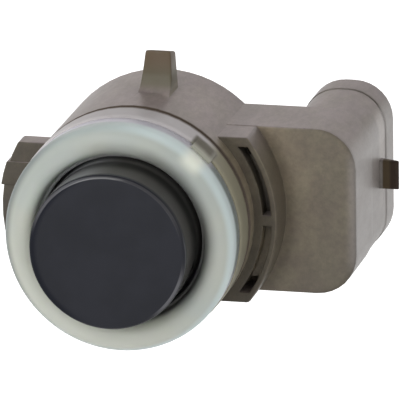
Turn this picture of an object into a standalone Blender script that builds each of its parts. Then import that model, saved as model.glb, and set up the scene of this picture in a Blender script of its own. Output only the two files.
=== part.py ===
"""Ultrasonic parking sensor with a right-angle connector, modelled in Blender 4.5.

The sensor looks along -Y and its axis is the Y axis. The origin is the centre of the sensing
face, +Z is up and the connector arm leaves towards +X. Its plug goes in from behind, along -Y.
Depths are distances behind the sensing face. All lengths are in metres.
"""

import math

import bmesh
import bpy
from mathutils import Matrix, Vector

# Clearances
FIT_GAP = 0.0003
SMALL_GAP = 0.00015
MOUTH_GAP = 0.0006
OVERLAP = 0.0004

# Transducer: a painted aluminium cup whose floor is the sensing membrane
MEMBRANE_DIAMETER = 0.0155
MEMBRANE_THICKNESS = 0.0008
CUP_LENGTH = 0.0093
CUP_WALL = 0.0018
CUP_EDGE_RADIUS = 0.0004
CUP_FLANGE_HEIGHT = 0.0005
CUP_FLANGE_LENGTH = 0.0010
PIEZO_DIAMETER = 0.0076
PIEZO_THICKNESS = 0.00035
PAD_THICKNESS = 0.0012
PLUG_RECESS = 0.0009
WIRE_DIAMETER = 0.0004
WIRE_SPACING = 0.0040
WIRE_BORE = 0.0010
WIRE_SLACK = 0.0005

# Silicone ring between the cup and the collar
LIP_RADIUS = 0.0015
RING_SIDE_LENGTH = 0.0021
RING_NECK_LENGTH = 0.0019
RING_EDGE_RADIUS = 0.0002
RING_SHELF_DEPTH = 0.0003

# Collar that clips the ring to the housing
COLLAR_STEP = 0.0001
COLLAR_WALL = 0.0008
COLLAR_WEB = 0.0016
COLLAR_EDGE = 0.0001
SPIGOT_LENGTH = 0.0018
SPIGOT_WALL = 0.0009
KEY_ANGLE = math.radians(47)
KEY_WIDTH = 0.0024
KEY_REACH = 0.0011
KEY_RISE = 0.0001
KEY_THICKNESS = 0.0008

# Silicone isolator and contact carrier behind the cup
ISOLATOR_BORE = 0.0066
CARRIER_FLANGE = 0.0005
CARRIER_LENGTH = 0.0020
CARRIER_NOTCH_WIDTH = 0.0030
CARRIER_NOTCH_DEPTH = 0.0016
CONTACT_DIAMETER = 0.0008
CONTACT_LEAD = 0.0008

# Housing barrel
HOUSING_WALL = 0.0013
SEAT_LENGTH = 0.0055
SEAT_HEIGHT = 0.0008
HOUSING_EDGE = 0.00015

# Holding flange: an arc each side of the barrel, the right one slotted
FLANGE_SETBACK = 0.0018
FLANGE_LENGTH = 0.0041
FLANGE_HEIGHT = 0.00225
FLANGE_DROP = 0.00012
FLANGE_EDGE = 0.0002
SLOT_INNER_WALL = 0.00085
SLOT_WIDTH = 0.00085
SLOT_END_BRIDGE = 0.0010
SLOT_FLOOR = 0.0004
SLOT_DEPTH = 0.0017
POCKET_LENGTH = 0.0012
POCKET_INSET = 0.00004
SLOT_RIB = 0.0010
EAR_RISE = 0.00012
EAR_TOP = 0.0067
EAR_TIP_LENGTH = 0.0023
EAR_BOTTOM = 0.0055
EAR_PAD_TOP = 0.00466
EAR_PAD_BOTTOM = 0.0023
EAR_PAD_RISE = 0.00024
EAR_PAD_LEAD = 0.00012

# Latch lug on top of the barrel
LUG_OFFSET = 0.00108
LUG_TOP_WIDTH = 0.0025
LUG_LEAN_LEFT = 0.0007
LUG_LEAN_RIGHT = 0.00015
LUG_HEIGHT = 0.0040
LUG_TOP_LENGTH = 0.0021
LUG_TOP_DROP = 0.00055
LUG_ROOT_LENGTH = 0.0026
LUG_FOOT_RADIUS = 0.0020
LUG_EDGE = 0.0002

# Connector arm and shroud
ARM_REACH = 0.0092
ARM_HEIGHT = 0.0167
ARM_CORNER_RADIUS = 0.0040
ARM_EDGE = 0.00045
ARM_STEP = 0.00005
ARM_BACK_STEP = 0.0002
SHROUD_INSET = 0.00022
SHROUD_WIDTH = 0.0083
SHROUD_HEIGHT = 0.01652
SHROUD_CORNER_RADIUS = 0.00371
SHROUD_LENGTH = 0.0102
SHROUD_WALL = 0.0011
SHROUD_BACK_WALL = 0.0009
RIM_LENGTH = 0.00325
RIM_RISE = 0.00008
RIM_GROOVE_WIDTH = 0.0002
RIM_GROOVE_DEPTH = 0.00015
RIM_EDGE = 0.0002
SOCKET_LEAD_IN = 0.0003
KEYWAY_RIB_WIDTH = 0.0008
KEYWAY_RIB_HEIGHT = 0.0005

# Latch nose that locks the plug
NOSE_SETBACK = 0.0039
NOSE_HEIGHT = 0.0029
NOSE_RISE = 0.00195
NOSE_CREST = 0.0003
NOSE_RAMP = 0.0007
NOSE_CENTRE = 0.00055
NOSE_EDGE = 0.0001

# Circuit board and what it carries
BOARD_THICKNESS = 0.0010
BOARD_NOTCH_RADIUS = 0.0012
REAR_ROOM = 0.00325
CORE_DIAMETER = 0.0052
CORE_HEIGHT = 0.0034
CORE_FLANGE = 0.0006
CORE_NECK_DIAMETER = 0.0022
CORE_PLACE = (-0.0042, 0.0030)
CHIP_SIZE = 0.0050
CHIP_HEIGHT = 0.0010
CHIP_PLACE = (0.0036, -0.0034)
CAPACITOR_SIZE = (0.0032, 0.0016, 0.0014)
CAPACITOR_PLACES = ((-0.0040, -0.0042), (-0.0046, 0.0046))
RESISTOR_SIZE = (0.0020, 0.0012, 0.0006)
RESISTOR_PLACES = ((0.0010, 0.0058), (0.0010, -0.0062))
CHIP_EDGE = 0.00008

# Terminals: blades bent twice, from the board through the arm into the socket
TERMINAL_COUNT = 3
TERMINAL_PITCH = 0.0040
TERMINAL_THICKNESS = 0.00064
TERMINAL_WIDTH = 0.0012
TERMINAL_BEND_RADIUS = 0.0009
TERMINAL_BOARD_REACH = 0.0078
TERMINAL_LEAD = 0.0004
TERMINAL_BEND_ROOM = 0.0016
TERMINAL_REACH = 0.0048
TERMINAL_TIP_TAPER = 0.0008

# Rear cover
COVER_THICKNESS = 0.0009
COVER_RECESS = 0.0002
COVER_SEAT = 0.0005
COVER_RIB_DIAMETER = 0.0120
COVER_RIB_WIDTH = 0.0008
COVER_RIB_HEIGHT = 0.00015

# Smoothness
ROUND_STEPS = 60
ARC_SAG_PARTS = 15
INNER_ROUND_STEPS = 36
SMALL_ROUND_STEPS = 20
TINY_ROUND_STEPS = 10
ARC_SAG = FIT_GAP / ARC_SAG_PARTS
ARC_MOST_STEP = math.radians(30)
SMOOTH_ANGLE = math.radians(32)
BEVEL_ANGLE = math.radians(50)
WIRE_BOW_STEPS = 8
WELD = 1e-6

# Radii and depths that follow from the sizes above
CUP_RADIUS = MEMBRANE_DIAMETER / 2
CUP_BORE = CUP_RADIUS - CUP_WALL
PLUG_BACK = CUP_LENGTH - PLUG_RECESS
RING_EDGE_DEPTH = CUP_LENGTH - RING_NECK_LENGTH
LIP_DEPTH = RING_EDGE_DEPTH - RING_SIDE_LENGTH
LIP_CENTRE = CUP_RADIUS + MOUTH_GAP + LIP_RADIUS
RING_RADIUS = LIP_CENTRE + LIP_RADIUS
COLLAR_RADIUS = RING_RADIUS + COLLAR_STEP
COLLAR_FRONT = RING_EDGE_DEPTH + FIT_GAP
COLLAR_WEB_FRONT = CUP_LENGTH + FIT_GAP
COLLAR_BACK = COLLAR_WEB_FRONT + COLLAR_WEB
COLLAR_MIDDLE = (COLLAR_FRONT + COLLAR_BACK) / 2
HOUSING_RADIUS = COLLAR_RADIUS
HOUSING_BORE = HOUSING_RADIUS - HOUSING_WALL
HOUSING_FRONT = COLLAR_BACK + FIT_GAP
WALL_MIDDLE = HOUSING_RADIUS - HOUSING_WALL / 2
SPIGOT_RADIUS = HOUSING_BORE - FIT_GAP
SPIGOT_BORE = SPIGOT_RADIUS - SPIGOT_WALL
SPIGOT_BACK = COLLAR_BACK + SPIGOT_LENGTH
CARRIER_FRONT = SPIGOT_BACK + FIT_GAP
SEAT_FRONT = CARRIER_FRONT + CARRIER_FLANGE + FIT_GAP
SEAT_BACK = SEAT_FRONT + SEAT_LENGTH
SEAT_BORE = HOUSING_BORE - SEAT_HEIGHT
BOARD_RADIUS = HOUSING_BORE - FIT_GAP
BOARD_FRONT = SEAT_BACK + FIT_GAP
BOARD_BACK = BOARD_FRONT + BOARD_THICKNESS
COVER_FRONT = BOARD_BACK + REAR_ROOM
COVER_BACK = COVER_FRONT + COVER_THICKNESS
HOUSING_BACK = COVER_BACK + COVER_RECESS
FLANGE_FRONT = HOUSING_FRONT + FLANGE_SETBACK
FLANGE_BACK = FLANGE_FRONT + FLANGE_LENGTH
FLANGE_RADIUS = HOUSING_RADIUS + FLANGE_HEIGHT
ARM_END = HOUSING_RADIUS + ARM_REACH
SHROUD_SIDE = ARM_END - SHROUD_INSET
SHROUD_CENTRE = SHROUD_SIDE - SHROUD_WIDTH / 2
SHROUD_BACK = HOUSING_BACK + SHROUD_LENGTH
SOCKET_FLOOR = HOUSING_BACK + SHROUD_BACK_WALL

# Planes for flat outlines: the columns are where the outline's x, y and its thickness point
FACING = Matrix(((1, 0, 0), (0, 0, -1), (0, 1, 0))).to_4x4()
LEVEL = Matrix.Identity(4)
UPRIGHT = Matrix(((0, 0, 1), (1, 0, 0), (0, 1, 0))).to_4x4()

PLASTIC = ("moulded_plastic", (0.155, 0.128, 0.100), 0.55, 0.0)
PAINT = ("black_paint", (0.030, 0.030, 0.036), 0.35, 0.0)
SILICONE = ("milky_silicone", (0.62, 0.66, 0.60), 0.40, 0.0)
GREY_SILICONE = ("grey_silicone", (0.30, 0.31, 0.32), 0.55, 0.0)
CERAMIC = ("piezo_ceramic", (0.55, 0.48, 0.36), 0.60, 0.0)
FELT = ("felt", (0.24, 0.23, 0.21), 0.95, 0.0)
WIRE = ("insulated_wire", (0.45, 0.04, 0.03), 0.45, 0.0)
CARRIER_PLASTIC = ("carrier_plastic", (0.05, 0.05, 0.05), 0.50, 0.0)
TINNED = ("tinned_brass", (0.72, 0.70, 0.64), 0.28, 1.0)
BOARD_GREEN = ("circuit_board", (0.02, 0.16, 0.06), 0.45, 0.0)
FERRITE = ("ferrite", (0.06, 0.06, 0.065), 0.65, 0.0)
COPPER = ("enamelled_copper", (0.55, 0.20, 0.08), 0.30, 1.0)
CHIP_RESIN = ("chip_resin", (0.02, 0.02, 0.022), 0.50, 0.0)
CAPACITOR_CERAMIC = ("capacitor_ceramic", (0.34, 0.24, 0.15), 0.50, 0.0)
RESISTOR_CERAMIC = ("resistor_ceramic", (0.04, 0.04, 0.045), 0.50, 0.0)


def clear_scene():
    for obj in list(bpy.data.objects):
        bpy.data.objects.remove(obj, do_unlink=True)


def new_collection(name):
    collection = bpy.data.collections.new(name)
    bpy.context.scene.collection.children.link(collection)
    return collection


def material(spec):
    """The Principled material of this name, made once."""
    name, colour, roughness, metallic = spec
    found = bpy.data.materials.get(name)
    if found:
        return found
    made = bpy.data.materials.new(name)
    made.use_nodes = True
    made.diffuse_color = (*colour, 1.0)
    shader = made.node_tree.nodes["Principled BSDF"]
    shader.inputs["Base Color"].default_value = (*colour, 1.0)
    shader.inputs["Roughness"].default_value = roughness
    shader.inputs["Metallic"].default_value = metallic
    return made


def add_mesh_object(name, mesh, place=None):
    obj = bpy.data.objects.new(name, mesh)
    if place is not None:
        obj.matrix_world = place
    HELPERS.objects.link(obj)
    obj.hide_render = True
    obj.display_type = "WIRE"
    return obj


def as_part(obj, spec):
    """Turns a helper into a visible part: modifiers applied, material set, round faces smooth."""
    bpy.context.view_layer.update()
    graph = bpy.context.evaluated_depsgraph_get()
    mesh = bpy.data.meshes.new_from_object(obj.evaluated_get(graph))
    mesh.name = obj.name
    mesh.materials.clear()
    mesh.materials.append(material(spec))
    mesh.polygons.foreach_set("material_index", [0] * len(mesh.polygons))
    mesh.shade_smooth()
    mesh.set_sharp_from_angle(angle=SMOOTH_ANGLE)
    obj.modifiers.clear()
    obj.data = mesh
    HELPERS.objects.unlink(obj)
    PARTS.objects.link(obj)
    obj.hide_render = False
    obj.display_type = "TEXTURED"
    return obj


def arc(centre, radius, start, end):
    """Points of an arc about (x, y), from one angle to another in radians, ends included."""
    step = min(ARC_MOST_STEP, 2 * math.acos(1 - ARC_SAG / radius))
    count = max(1, round(abs(end - start) / step))
    angles = [start + (end - start) * index / count for index in range(count + 1)]
    return [(centre[0] + radius * math.cos(a), centre[1] + radius * math.sin(a)) for a in angles]


def rounded(corners):
    """An outline from (x, y, corner radius) points, each radius above zero made an arc."""
    outline = []
    for index, (x, y, radius) in enumerate(corners):
        here = Vector((x, y))
        if radius <= 0:
            outline.append((x, y))
            continue
        before = (Vector(corners[index - 1][:2]) - here).normalized()
        after = (Vector(corners[(index + 1) % len(corners)][:2]) - here).normalized()
        half = before.angle(after) / 2
        centre = here + (before + after).normalized() * radius / math.sin(half)
        first = here + before * radius / math.tan(half) - centre
        last = here + after * radius / math.tan(half) - centre
        start = math.atan2(first.y, first.x)
        turn = first.angle_signed(last)
        outline += arc(centre, radius, start, start - turn)
    return outline


def prism(name, outline, plane, low, high, edge=0.0):
    """A flat outline made solid from low to high along the plane's thickness, as a mesh."""
    curve = bpy.data.curves.new(name, "CURVE")
    curve.dimensions = "2D"
    curve.fill_mode = "BOTH"
    curve.extrude = (high - low) / 2
    spline = curve.splines.new("POLY")
    spline.points.add(len(outline) - 1)
    for point, (x, y) in zip(spline.points, outline):
        point.co = (x, y, 0, 1)
    spline.use_cyclic_u = True
    guide = bpy.data.objects.new(name + "_guide", curve)
    HELPERS.objects.link(guide)
    guide.matrix_world = plane @ Matrix.Translation((0, 0, (low + high) / 2))
    bpy.context.view_layer.update()
    graph = bpy.context.evaluated_depsgraph_get()
    mesh = bpy.data.meshes.new_from_object(guide.evaluated_get(graph))
    weld_caps(mesh)
    obj = add_mesh_object(name, mesh, guide.matrix_world.copy())
    bpy.data.objects.remove(guide)
    if edge:
        round_edges(obj, edge)
    return obj


def facing_prism(name, outline, front, back, edge=0.0):
    """A prism across the sensor's axis, from one depth behind the sensing face to another."""
    return prism(name, outline, FACING, -back, -front, edge)


def weld_caps(mesh):
    shape = bmesh.new()
    shape.from_mesh(mesh)
    bmesh.ops.remove_doubles(shape, verts=shape.verts, dist=WELD)
    bmesh.ops.recalc_face_normals(shape, faces=shape.faces)
    shape.to_mesh(mesh)
    shape.free()


def round_edges(obj, width, segments=2):
    bevel = obj.modifiers.new("rounded_edges", "BEVEL")
    bevel.width = width
    bevel.segments = segments
    bevel.limit_method = "ANGLE"
    bevel.angle_limit = BEVEL_ANGLE


def turned(name, profile, closed=True, steps=ROUND_STEPS, place=None):
    """A turned shape from (radius, depth) points, running front to back down its outer side."""
    mesh = bpy.data.meshes.new(name)
    count = len(profile)
    edges = [(index, (index + 1) % count) for index in range(count if closed else count - 1)]
    mesh.from_pydata([(radius, 0, -depth) for radius, depth in profile], edges, [])
    obj = add_mesh_object(name, mesh, place @ FACING if place else FACING)
    screw = obj.modifiers.new("turned", "SCREW")
    screw.axis = "Z"
    screw.steps = steps
    screw.render_steps = steps
    screw.use_merge_vertices = True
    screw.merge_threshold = WELD
    return obj


def at(x=0.0, depth=0.0, z=0.0):
    return Matrix.Translation((x, depth, z))


def block(name, low, high, edge=0.0):
    """A box between two corners, with its edges rounded when edge is given."""
    mesh = bpy.data.meshes.new(name)
    shape = bmesh.new()
    bmesh.ops.create_cube(shape, size=1.0)
    size = [high[axis] - low[axis] for axis in range(3)]
    bmesh.ops.scale(shape, vec=size, verts=shape.verts)
    shape.to_mesh(mesh)
    shape.free()
    centre = [(high[axis] + low[axis]) / 2 for axis in range(3)]
    obj = add_mesh_object(name, mesh, Matrix.Translation(centre))
    if edge:
        round_edges(obj, edge)
    return obj


def rod(name, radius, front, back, x=0.0, z=0.0, steps=SMALL_ROUND_STEPS, edge=0.0):
    """A round rod along the sensor's axis, chamfered at both ends when edge is given."""
    outer = [(radius - edge, 0), (radius, edge), (radius, back - front - edge)]
    profile = [(0, 0), *outer, (radius - edge, back - front), (0, back - front)]
    if not edge:
        profile = [(0, 0), (radius, 0), (radius, back - front), (0, back - front)]
    return turned(name, profile, closed=False, steps=steps, place=at(x, front, z))


def combine(target, other, operation):
    boolean = target.modifiers.new(other.name, "BOOLEAN")
    boolean.operation = operation
    boolean.solver = "EXACT"
    boolean.object = other


def join(target, *others):
    for other in others:
        combine(target, other, "UNION")


def cut(target, *others):
    for other in others:
        combine(target, other, "DIFFERENCE")


def shroud_outline(inset=0.0):
    """The shroud seen from the front, a tall oblong with large round corners, drawn in by an inset."""
    half_width = SHROUD_WIDTH / 2 - inset
    half_height = SHROUD_HEIGHT / 2 - inset
    radius = SHROUD_CORNER_RADIUS - inset
    low_x = SHROUD_CENTRE - half_width
    high_x = SHROUD_CENTRE + half_width
    return rounded([
        (high_x, half_height, radius),
        (high_x, -half_height, radius),
        (low_x, -half_height, radius),
        (low_x, half_height, radius),
    ])


def sector(inner, outer, low, high, side=1):
    """An arc band between two radii, cut level at two heights, on the +X or the -X side."""
    outer_arc = arc((0, 0), outer, math.asin(low / outer), math.asin(high / outer))
    inner_arc = arc((0, 0), inner, math.asin(high / inner), math.asin(low / inner))
    return [(side * x, z) for x, z in outer_arc + inner_arc]


def make_transducer_cup():
    """A turned pot: painted front, rounded edge, open back with a retaining flange."""
    flange_front = CUP_LENGTH - CUP_FLANGE_LENGTH
    edge_centre = (CUP_RADIUS - CUP_EDGE_RADIUS, CUP_EDGE_RADIUS)
    edge = arc(edge_centre, CUP_EDGE_RADIUS, -math.pi / 2, 0)
    flange_radius = CUP_RADIUS + CUP_FLANGE_HEIGHT
    profile = [
        (0, 0),
        *edge,
        (CUP_RADIUS, flange_front - CUP_FLANGE_HEIGHT),
        (flange_radius, flange_front),
        (flange_radius, CUP_LENGTH),
        (CUP_BORE, CUP_LENGTH),
        (CUP_BORE, MEMBRANE_THICKNESS + CUP_EDGE_RADIUS),
        (CUP_BORE - CUP_EDGE_RADIUS, MEMBRANE_THICKNESS),
        (0, MEMBRANE_THICKNESS),
    ]
    as_part(turned("transducer_cup", profile, closed=False), PAINT)


def contact_places():
    """Where the two wires and their contact pins stand, by number."""
    return {"1": -WIRE_SPACING / 2, "2": WIRE_SPACING / 2}


def make_cup_contents():
    """The piezo disc on the membrane's back, the damping pad, the silicone plug and two wires."""
    piezo_front = MEMBRANE_THICKNESS + SMALL_GAP
    piezo_back = piezo_front + PIEZO_THICKNESS
    piezo = rod(
        "piezo_disc", PIEZO_DIAMETER / 2, piezo_front, piezo_back, steps=INNER_ROUND_STEPS
    )
    as_part(piezo, CERAMIC)

    pad_front = piezo_back + WIRE_DIAMETER + SMALL_GAP
    pad_back = pad_front + PAD_THICKNESS
    plug_front = pad_back + SMALL_GAP
    pad_radius = CUP_BORE - FIT_GAP
    for name, front, back, spec in (
        ("damping_pad", pad_front, pad_back, FELT),
        ("silicone_plug", plug_front, PLUG_BACK, GREY_SILICONE),
    ):
        piece = rod(name, pad_radius, front, back, steps=INNER_ROUND_STEPS)
        for side, x in contact_places().items():
            bore = rod(
                f"{name}_bore_{side}", WIRE_BORE / 2, front - OVERLAP, back + OVERLAP, x, 0,
                TINY_ROUND_STEPS,
            )
            cut(piece, bore)
        as_part(piece, spec)

    wire_front = piezo_back + SMALL_GAP
    wire_back = CARRIER_FRONT - CONTACT_LEAD - SMALL_GAP
    for side, x in contact_places().items():
        make_wire(f"contact_wire_{side}", x, wire_front, wire_back)


def make_wire(name, x, front, back):
    """A wire that runs straight through the plug, then bows outwards to its contact pin."""
    curve = bpy.data.curves.new(name, "CURVE")
    curve.dimensions = "3D"
    curve.bevel_depth = WIRE_DIAMETER / 2
    curve.bevel_resolution = 2
    curve.use_fill_caps = True
    outward = math.copysign(WIRE_SLACK, x)
    shares = [step / WIRE_BOW_STEPS for step in range(WIRE_BOW_STEPS + 1)]
    bow = [
        (x + outward * math.sin(math.pi * share) ** 2, PLUG_BACK + (back - PLUG_BACK) * share)
        for share in shares
    ]
    route = [(x, front), *bow]
    spline = curve.splines.new("POLY")
    spline.points.add(len(route) - 1)
    for point, (place, depth) in zip(spline.points, route):
        point.co = (place, depth, 0, 1)
    guide = bpy.data.objects.new(name + "_guide", curve)
    HELPERS.objects.link(guide)
    bpy.context.view_layer.update()
    graph = bpy.context.evaluated_depsgraph_get()
    mesh = bpy.data.meshes.new_from_object(guide.evaluated_get(graph))
    weld_caps(mesh)
    bpy.data.objects.remove(guide)
    as_part(add_mesh_object(name, mesh), WIRE)


def make_decoupling_ring():
    """A soft ring: rounded front lip, shelf round the cup, square outer edge, key's pocket."""
    lip = arc((LIP_CENTRE, LIP_DEPTH), LIP_RADIUS, -math.pi, 0)
    edge_centre = (RING_RADIUS - RING_EDGE_RADIUS, RING_EDGE_DEPTH - RING_EDGE_RADIUS)
    edge = arc(edge_centre, RING_EDGE_RADIUS, 0, math.pi / 2)
    neck_radius = COLLAR_RADIUS - COLLAR_WALL - FIT_GAP
    wall_radius = CUP_RADIUS + FIT_GAP
    groove_radius = CUP_RADIUS + CUP_FLANGE_HEIGHT + FIT_GAP
    groove_back = CUP_LENGTH - CUP_FLANGE_LENGTH - FIT_GAP
    groove_front = groove_back - CUP_FLANGE_HEIGHT
    profile = [
        *lip,
        *edge,
        (neck_radius, RING_EDGE_DEPTH),
        (neck_radius, CUP_LENGTH),
        (groove_radius, CUP_LENGTH),
        (groove_radius, groove_back),
        (wall_radius, groove_front),
        (wall_radius, LIP_DEPTH + RING_SHELF_DEPTH),
        (LIP_CENTRE - LIP_RADIUS, LIP_DEPTH + RING_SHELF_DEPTH),
    ]
    ring = turned("decoupling_ring", profile)
    cut(ring, collar_key("key_pocket", SMALL_GAP))
    as_part(ring, SILICONE)


def make_collar():
    """The visible collar band, its inner web and spigot, and the key that turns with the ring."""
    band_bore = COLLAR_RADIUS - COLLAR_WALL
    profile = [
        (COLLAR_RADIUS - COLLAR_EDGE, COLLAR_FRONT),
        (COLLAR_RADIUS, COLLAR_FRONT + COLLAR_EDGE),
        (COLLAR_RADIUS, COLLAR_BACK - COLLAR_EDGE),
        (COLLAR_RADIUS - COLLAR_EDGE, COLLAR_BACK),
        (SPIGOT_RADIUS, COLLAR_BACK),
        (SPIGOT_RADIUS, SPIGOT_BACK),
        (SPIGOT_BORE, SPIGOT_BACK),
        (SPIGOT_BORE, COLLAR_WEB_FRONT),
        (band_bore, COLLAR_WEB_FRONT),
        (band_bore, COLLAR_FRONT),
    ]
    collar = turned("front_collar", profile)
    join(collar, collar_key("collar_key", 0.0))
    as_part(collar, PLASTIC)


def collar_key(name, gap):
    """The key on the collar, or with a gap the pocket that it needs in the ring's outer edge."""
    top = COLLAR_RADIUS + KEY_RISE + gap
    low = COLLAR_RADIUS + KEY_RISE - KEY_THICKNESS - gap
    half_turn = (KEY_WIDTH / 2 + gap) / COLLAR_RADIUS
    outline = [
        *arc((0, 0), top, KEY_ANGLE - half_turn, KEY_ANGLE + half_turn),
        *arc((0, 0), low, KEY_ANGLE + half_turn, KEY_ANGLE - half_turn),
    ]
    front = COLLAR_FRONT - KEY_REACH - gap
    return facing_prism(name, outline, front, COLLAR_MIDDLE)


def make_isolator():
    """A grey silicone ring that holds the cup's back off the contact carrier."""
    front = CUP_LENGTH + FIT_GAP
    radius = SPIGOT_BORE - FIT_GAP
    bore = ISOLATOR_BORE / 2
    profile = [(radius, front), (radius, SPIGOT_BACK), (bore, SPIGOT_BACK), (bore, front)]
    as_part(turned("rear_isolator", profile, steps=INNER_ROUND_STEPS), GREY_SILICONE)


def make_contact_carrier():
    """A plastic disc that seats on the housing's shoulder, and its two contact pins."""
    flange_radius = HOUSING_BORE - FIT_GAP
    body_radius = SEAT_BORE - FIT_GAP
    flange_back = CARRIER_FRONT + CARRIER_FLANGE
    back = CARRIER_FRONT + CARRIER_LENGTH
    profile = [
        (0, CARRIER_FRONT),
        (flange_radius, CARRIER_FRONT),
        (flange_radius, flange_back),
        (body_radius, flange_back),
        (body_radius, back),
        (0, back),
    ]
    carrier = turned("contact_carrier", profile, closed=False, steps=INNER_ROUND_STEPS)
    pin_front = CARRIER_FRONT - CONTACT_LEAD
    pin_back = BOARD_BACK + CONTACT_LEAD
    for side, x in contact_places().items():
        hole = rod(
            f"contact_hole_{side}", CONTACT_DIAMETER / 2 + SMALL_GAP, CARRIER_FRONT - OVERLAP,
            back + OVERLAP, x, 0, TINY_ROUND_STEPS,
        )
        cut(carrier, hole)
    half = CARRIER_NOTCH_WIDTH / 2
    notch_low = (-half, CARRIER_FRONT - OVERLAP, flange_radius - CARRIER_NOTCH_DEPTH)
    notch_high = (half, back + OVERLAP, flange_radius + OVERLAP)
    cut(carrier, block("carrier_notch", notch_low, notch_high))
    as_part(carrier, CARRIER_PLASTIC)
    for side, x in contact_places().items():
        pin = rod(
            f"contact_pin_{side}", CONTACT_DIAMETER / 2, pin_front, pin_back, x, 0,
            TINY_ROUND_STEPS, SMALL_GAP,
        )
        as_part(pin, TINNED)


def arm_outline():
    """Seen from the front: the arm from inside the barrel's wall out to its two round corners."""
    half = ARM_HEIGHT / 2
    inner_angle = math.asin(half / WALL_MIDDLE)
    outer = rounded([
        (0, half, 0),
        (ARM_END, half, ARM_CORNER_RADIUS),
        (ARM_END, -half, ARM_CORNER_RADIUS),
        (0, -half, 0),
    ])
    return outer[1:-1] + arc((0, 0), WALL_MIDDLE, -inner_angle, inner_angle)


def housing_barrel():
    """The barrel with its front counterbore, the inner seat and the rear counterbore."""
    cover_bore = HOUSING_BORE + COVER_SEAT
    cover_seat = COVER_FRONT - FIT_GAP
    profile = [
        (HOUSING_RADIUS - HOUSING_EDGE, HOUSING_FRONT),
        (HOUSING_RADIUS, HOUSING_FRONT + HOUSING_EDGE),
        (HOUSING_RADIUS, HOUSING_BACK - HOUSING_EDGE),
        (HOUSING_RADIUS - HOUSING_EDGE, HOUSING_BACK),
        (cover_bore, HOUSING_BACK),
        (cover_bore, cover_seat),
        (HOUSING_BORE, cover_seat),
        (HOUSING_BORE, SEAT_BACK),
        (SEAT_BORE, SEAT_BACK),
        (SEAT_BORE, SEAT_FRONT),
        (HOUSING_BORE, SEAT_FRONT),
        (HOUSING_BORE, HOUSING_FRONT),
    ]
    return turned("housing", profile)


def flange_pieces():
    """The slotted arc on the arm's side and the stepped ear on the other."""
    half = ARM_HEIGHT / 2 - ARM_STEP
    ear_radius = FLANGE_RADIUS + EAR_RISE
    right = facing_prism(
        "right_flange", sector(WALL_MIDDLE, FLANGE_RADIUS, -half - FLANGE_DROP, half), FLANGE_FRONT,
        FLANGE_BACK + OVERLAP, FLANGE_EDGE,
    )
    ear = facing_prism(
        "left_ear", sector(WALL_MIDDLE, ear_radius, -EAR_TOP, EAR_TOP, -1), FLANGE_FRONT,
        FLANGE_FRONT + EAR_TIP_LENGTH, FLANGE_EDGE,
    )
    body = facing_prism(
        "left_ear_body",
        sector(WALL_MIDDLE, FLANGE_RADIUS, -EAR_BOTTOM, EAR_PAD_TOP - OVERLAP, -1),
        FLANGE_FRONT + EAR_TIP_LENGTH / 2, FLANGE_BACK, FLANGE_EDGE,
    )
    pad_radius = ear_radius + EAR_PAD_RISE
    pad = facing_prism(
        "left_ear_pad", sector(WALL_MIDDLE, pad_radius, EAR_PAD_BOTTOM, EAR_PAD_TOP, -1),
        FLANGE_FRONT - EAR_PAD_LEAD, FLANGE_BACK + EAR_PAD_LEAD, FLANGE_EDGE / 2,
    )
    return right, ear, body, pad


def flange_slots():
    """Two arc slots in the right flange with a rib between them, each deeper at its far end."""
    inner = HOUSING_RADIUS + SLOT_INNER_WALL
    outer = inner + SLOT_WIDTH
    low = SLOT_RIB / 2
    high = ARM_HEIGHT / 2 - SLOT_END_BRIDGE
    front = FLANGE_FRONT - OVERLAP
    floor = FLANGE_FRONT + SLOT_DEPTH
    back = FLANGE_BACK - SLOT_FLOOR
    pocket_low = high - POCKET_LENGTH
    pocket_high = high - POCKET_INSET
    pocket_inner = inner + POCKET_INSET
    pocket_outer = outer - POCKET_INSET
    return (
        facing_prism("upper_slot", sector(inner, outer, low, high), front, floor),
        facing_prism("lower_slot", sector(inner, outer, -high, -low), front, floor),
        facing_prism(
            "upper_pocket", sector(pocket_inner, pocket_outer, pocket_low, pocket_high), front, back
        ),
        facing_prism(
            "lower_pocket", sector(pocket_inner, pocket_outer, -pocket_high, -pocket_low), front, back
        ),
    )


def latch_lug():
    """The lug on top: upright front, a wide hollow foot in front, and sides that lean inwards."""
    top = HOUSING_RADIUS + LUG_HEIGHT
    root = WALL_MIDDLE
    front = FLANGE_BACK
    low_x = LUG_OFFSET - LUG_TOP_WIDTH / 2 - LUG_LEAN_LEFT
    high_x = LUG_OFFSET + LUG_TOP_WIDTH / 2 + LUG_LEAN_RIGHT
    foot_height = math.sqrt(HOUSING_RADIUS**2 - high_x**2)
    foot_centre = (front - LUG_FOOT_RADIUS, foot_height + LUG_FOOT_RADIUS)
    profile = [
        (front - LUG_FOOT_RADIUS, root),
        *arc(foot_centre, LUG_FOOT_RADIUS, -math.pi / 2, 0),
        (front, top),
        (front + LUG_TOP_LENGTH, top - LUG_TOP_DROP),
        (front + LUG_ROOT_LENGTH, root),
    ]
    lug = prism("latch_lug", profile, UPRIGHT, low_x, high_x)
    lean_inwards(lug, root, top)
    round_edges(lug, LUG_EDGE)
    return lug


def lean_inwards(lug, low, high):
    """Moves both sides of the lug inwards in step with their height."""
    place = lug.matrix_world
    back = place.inverted()
    for vertex in lug.data.vertices:
        point = place @ vertex.co
        rise = (point.z - low) / (high - low)
        point.x += rise * (LUG_LEAN_LEFT if point.x < LUG_OFFSET else -LUG_LEAN_RIGHT)
        vertex.co = back @ point


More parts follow.
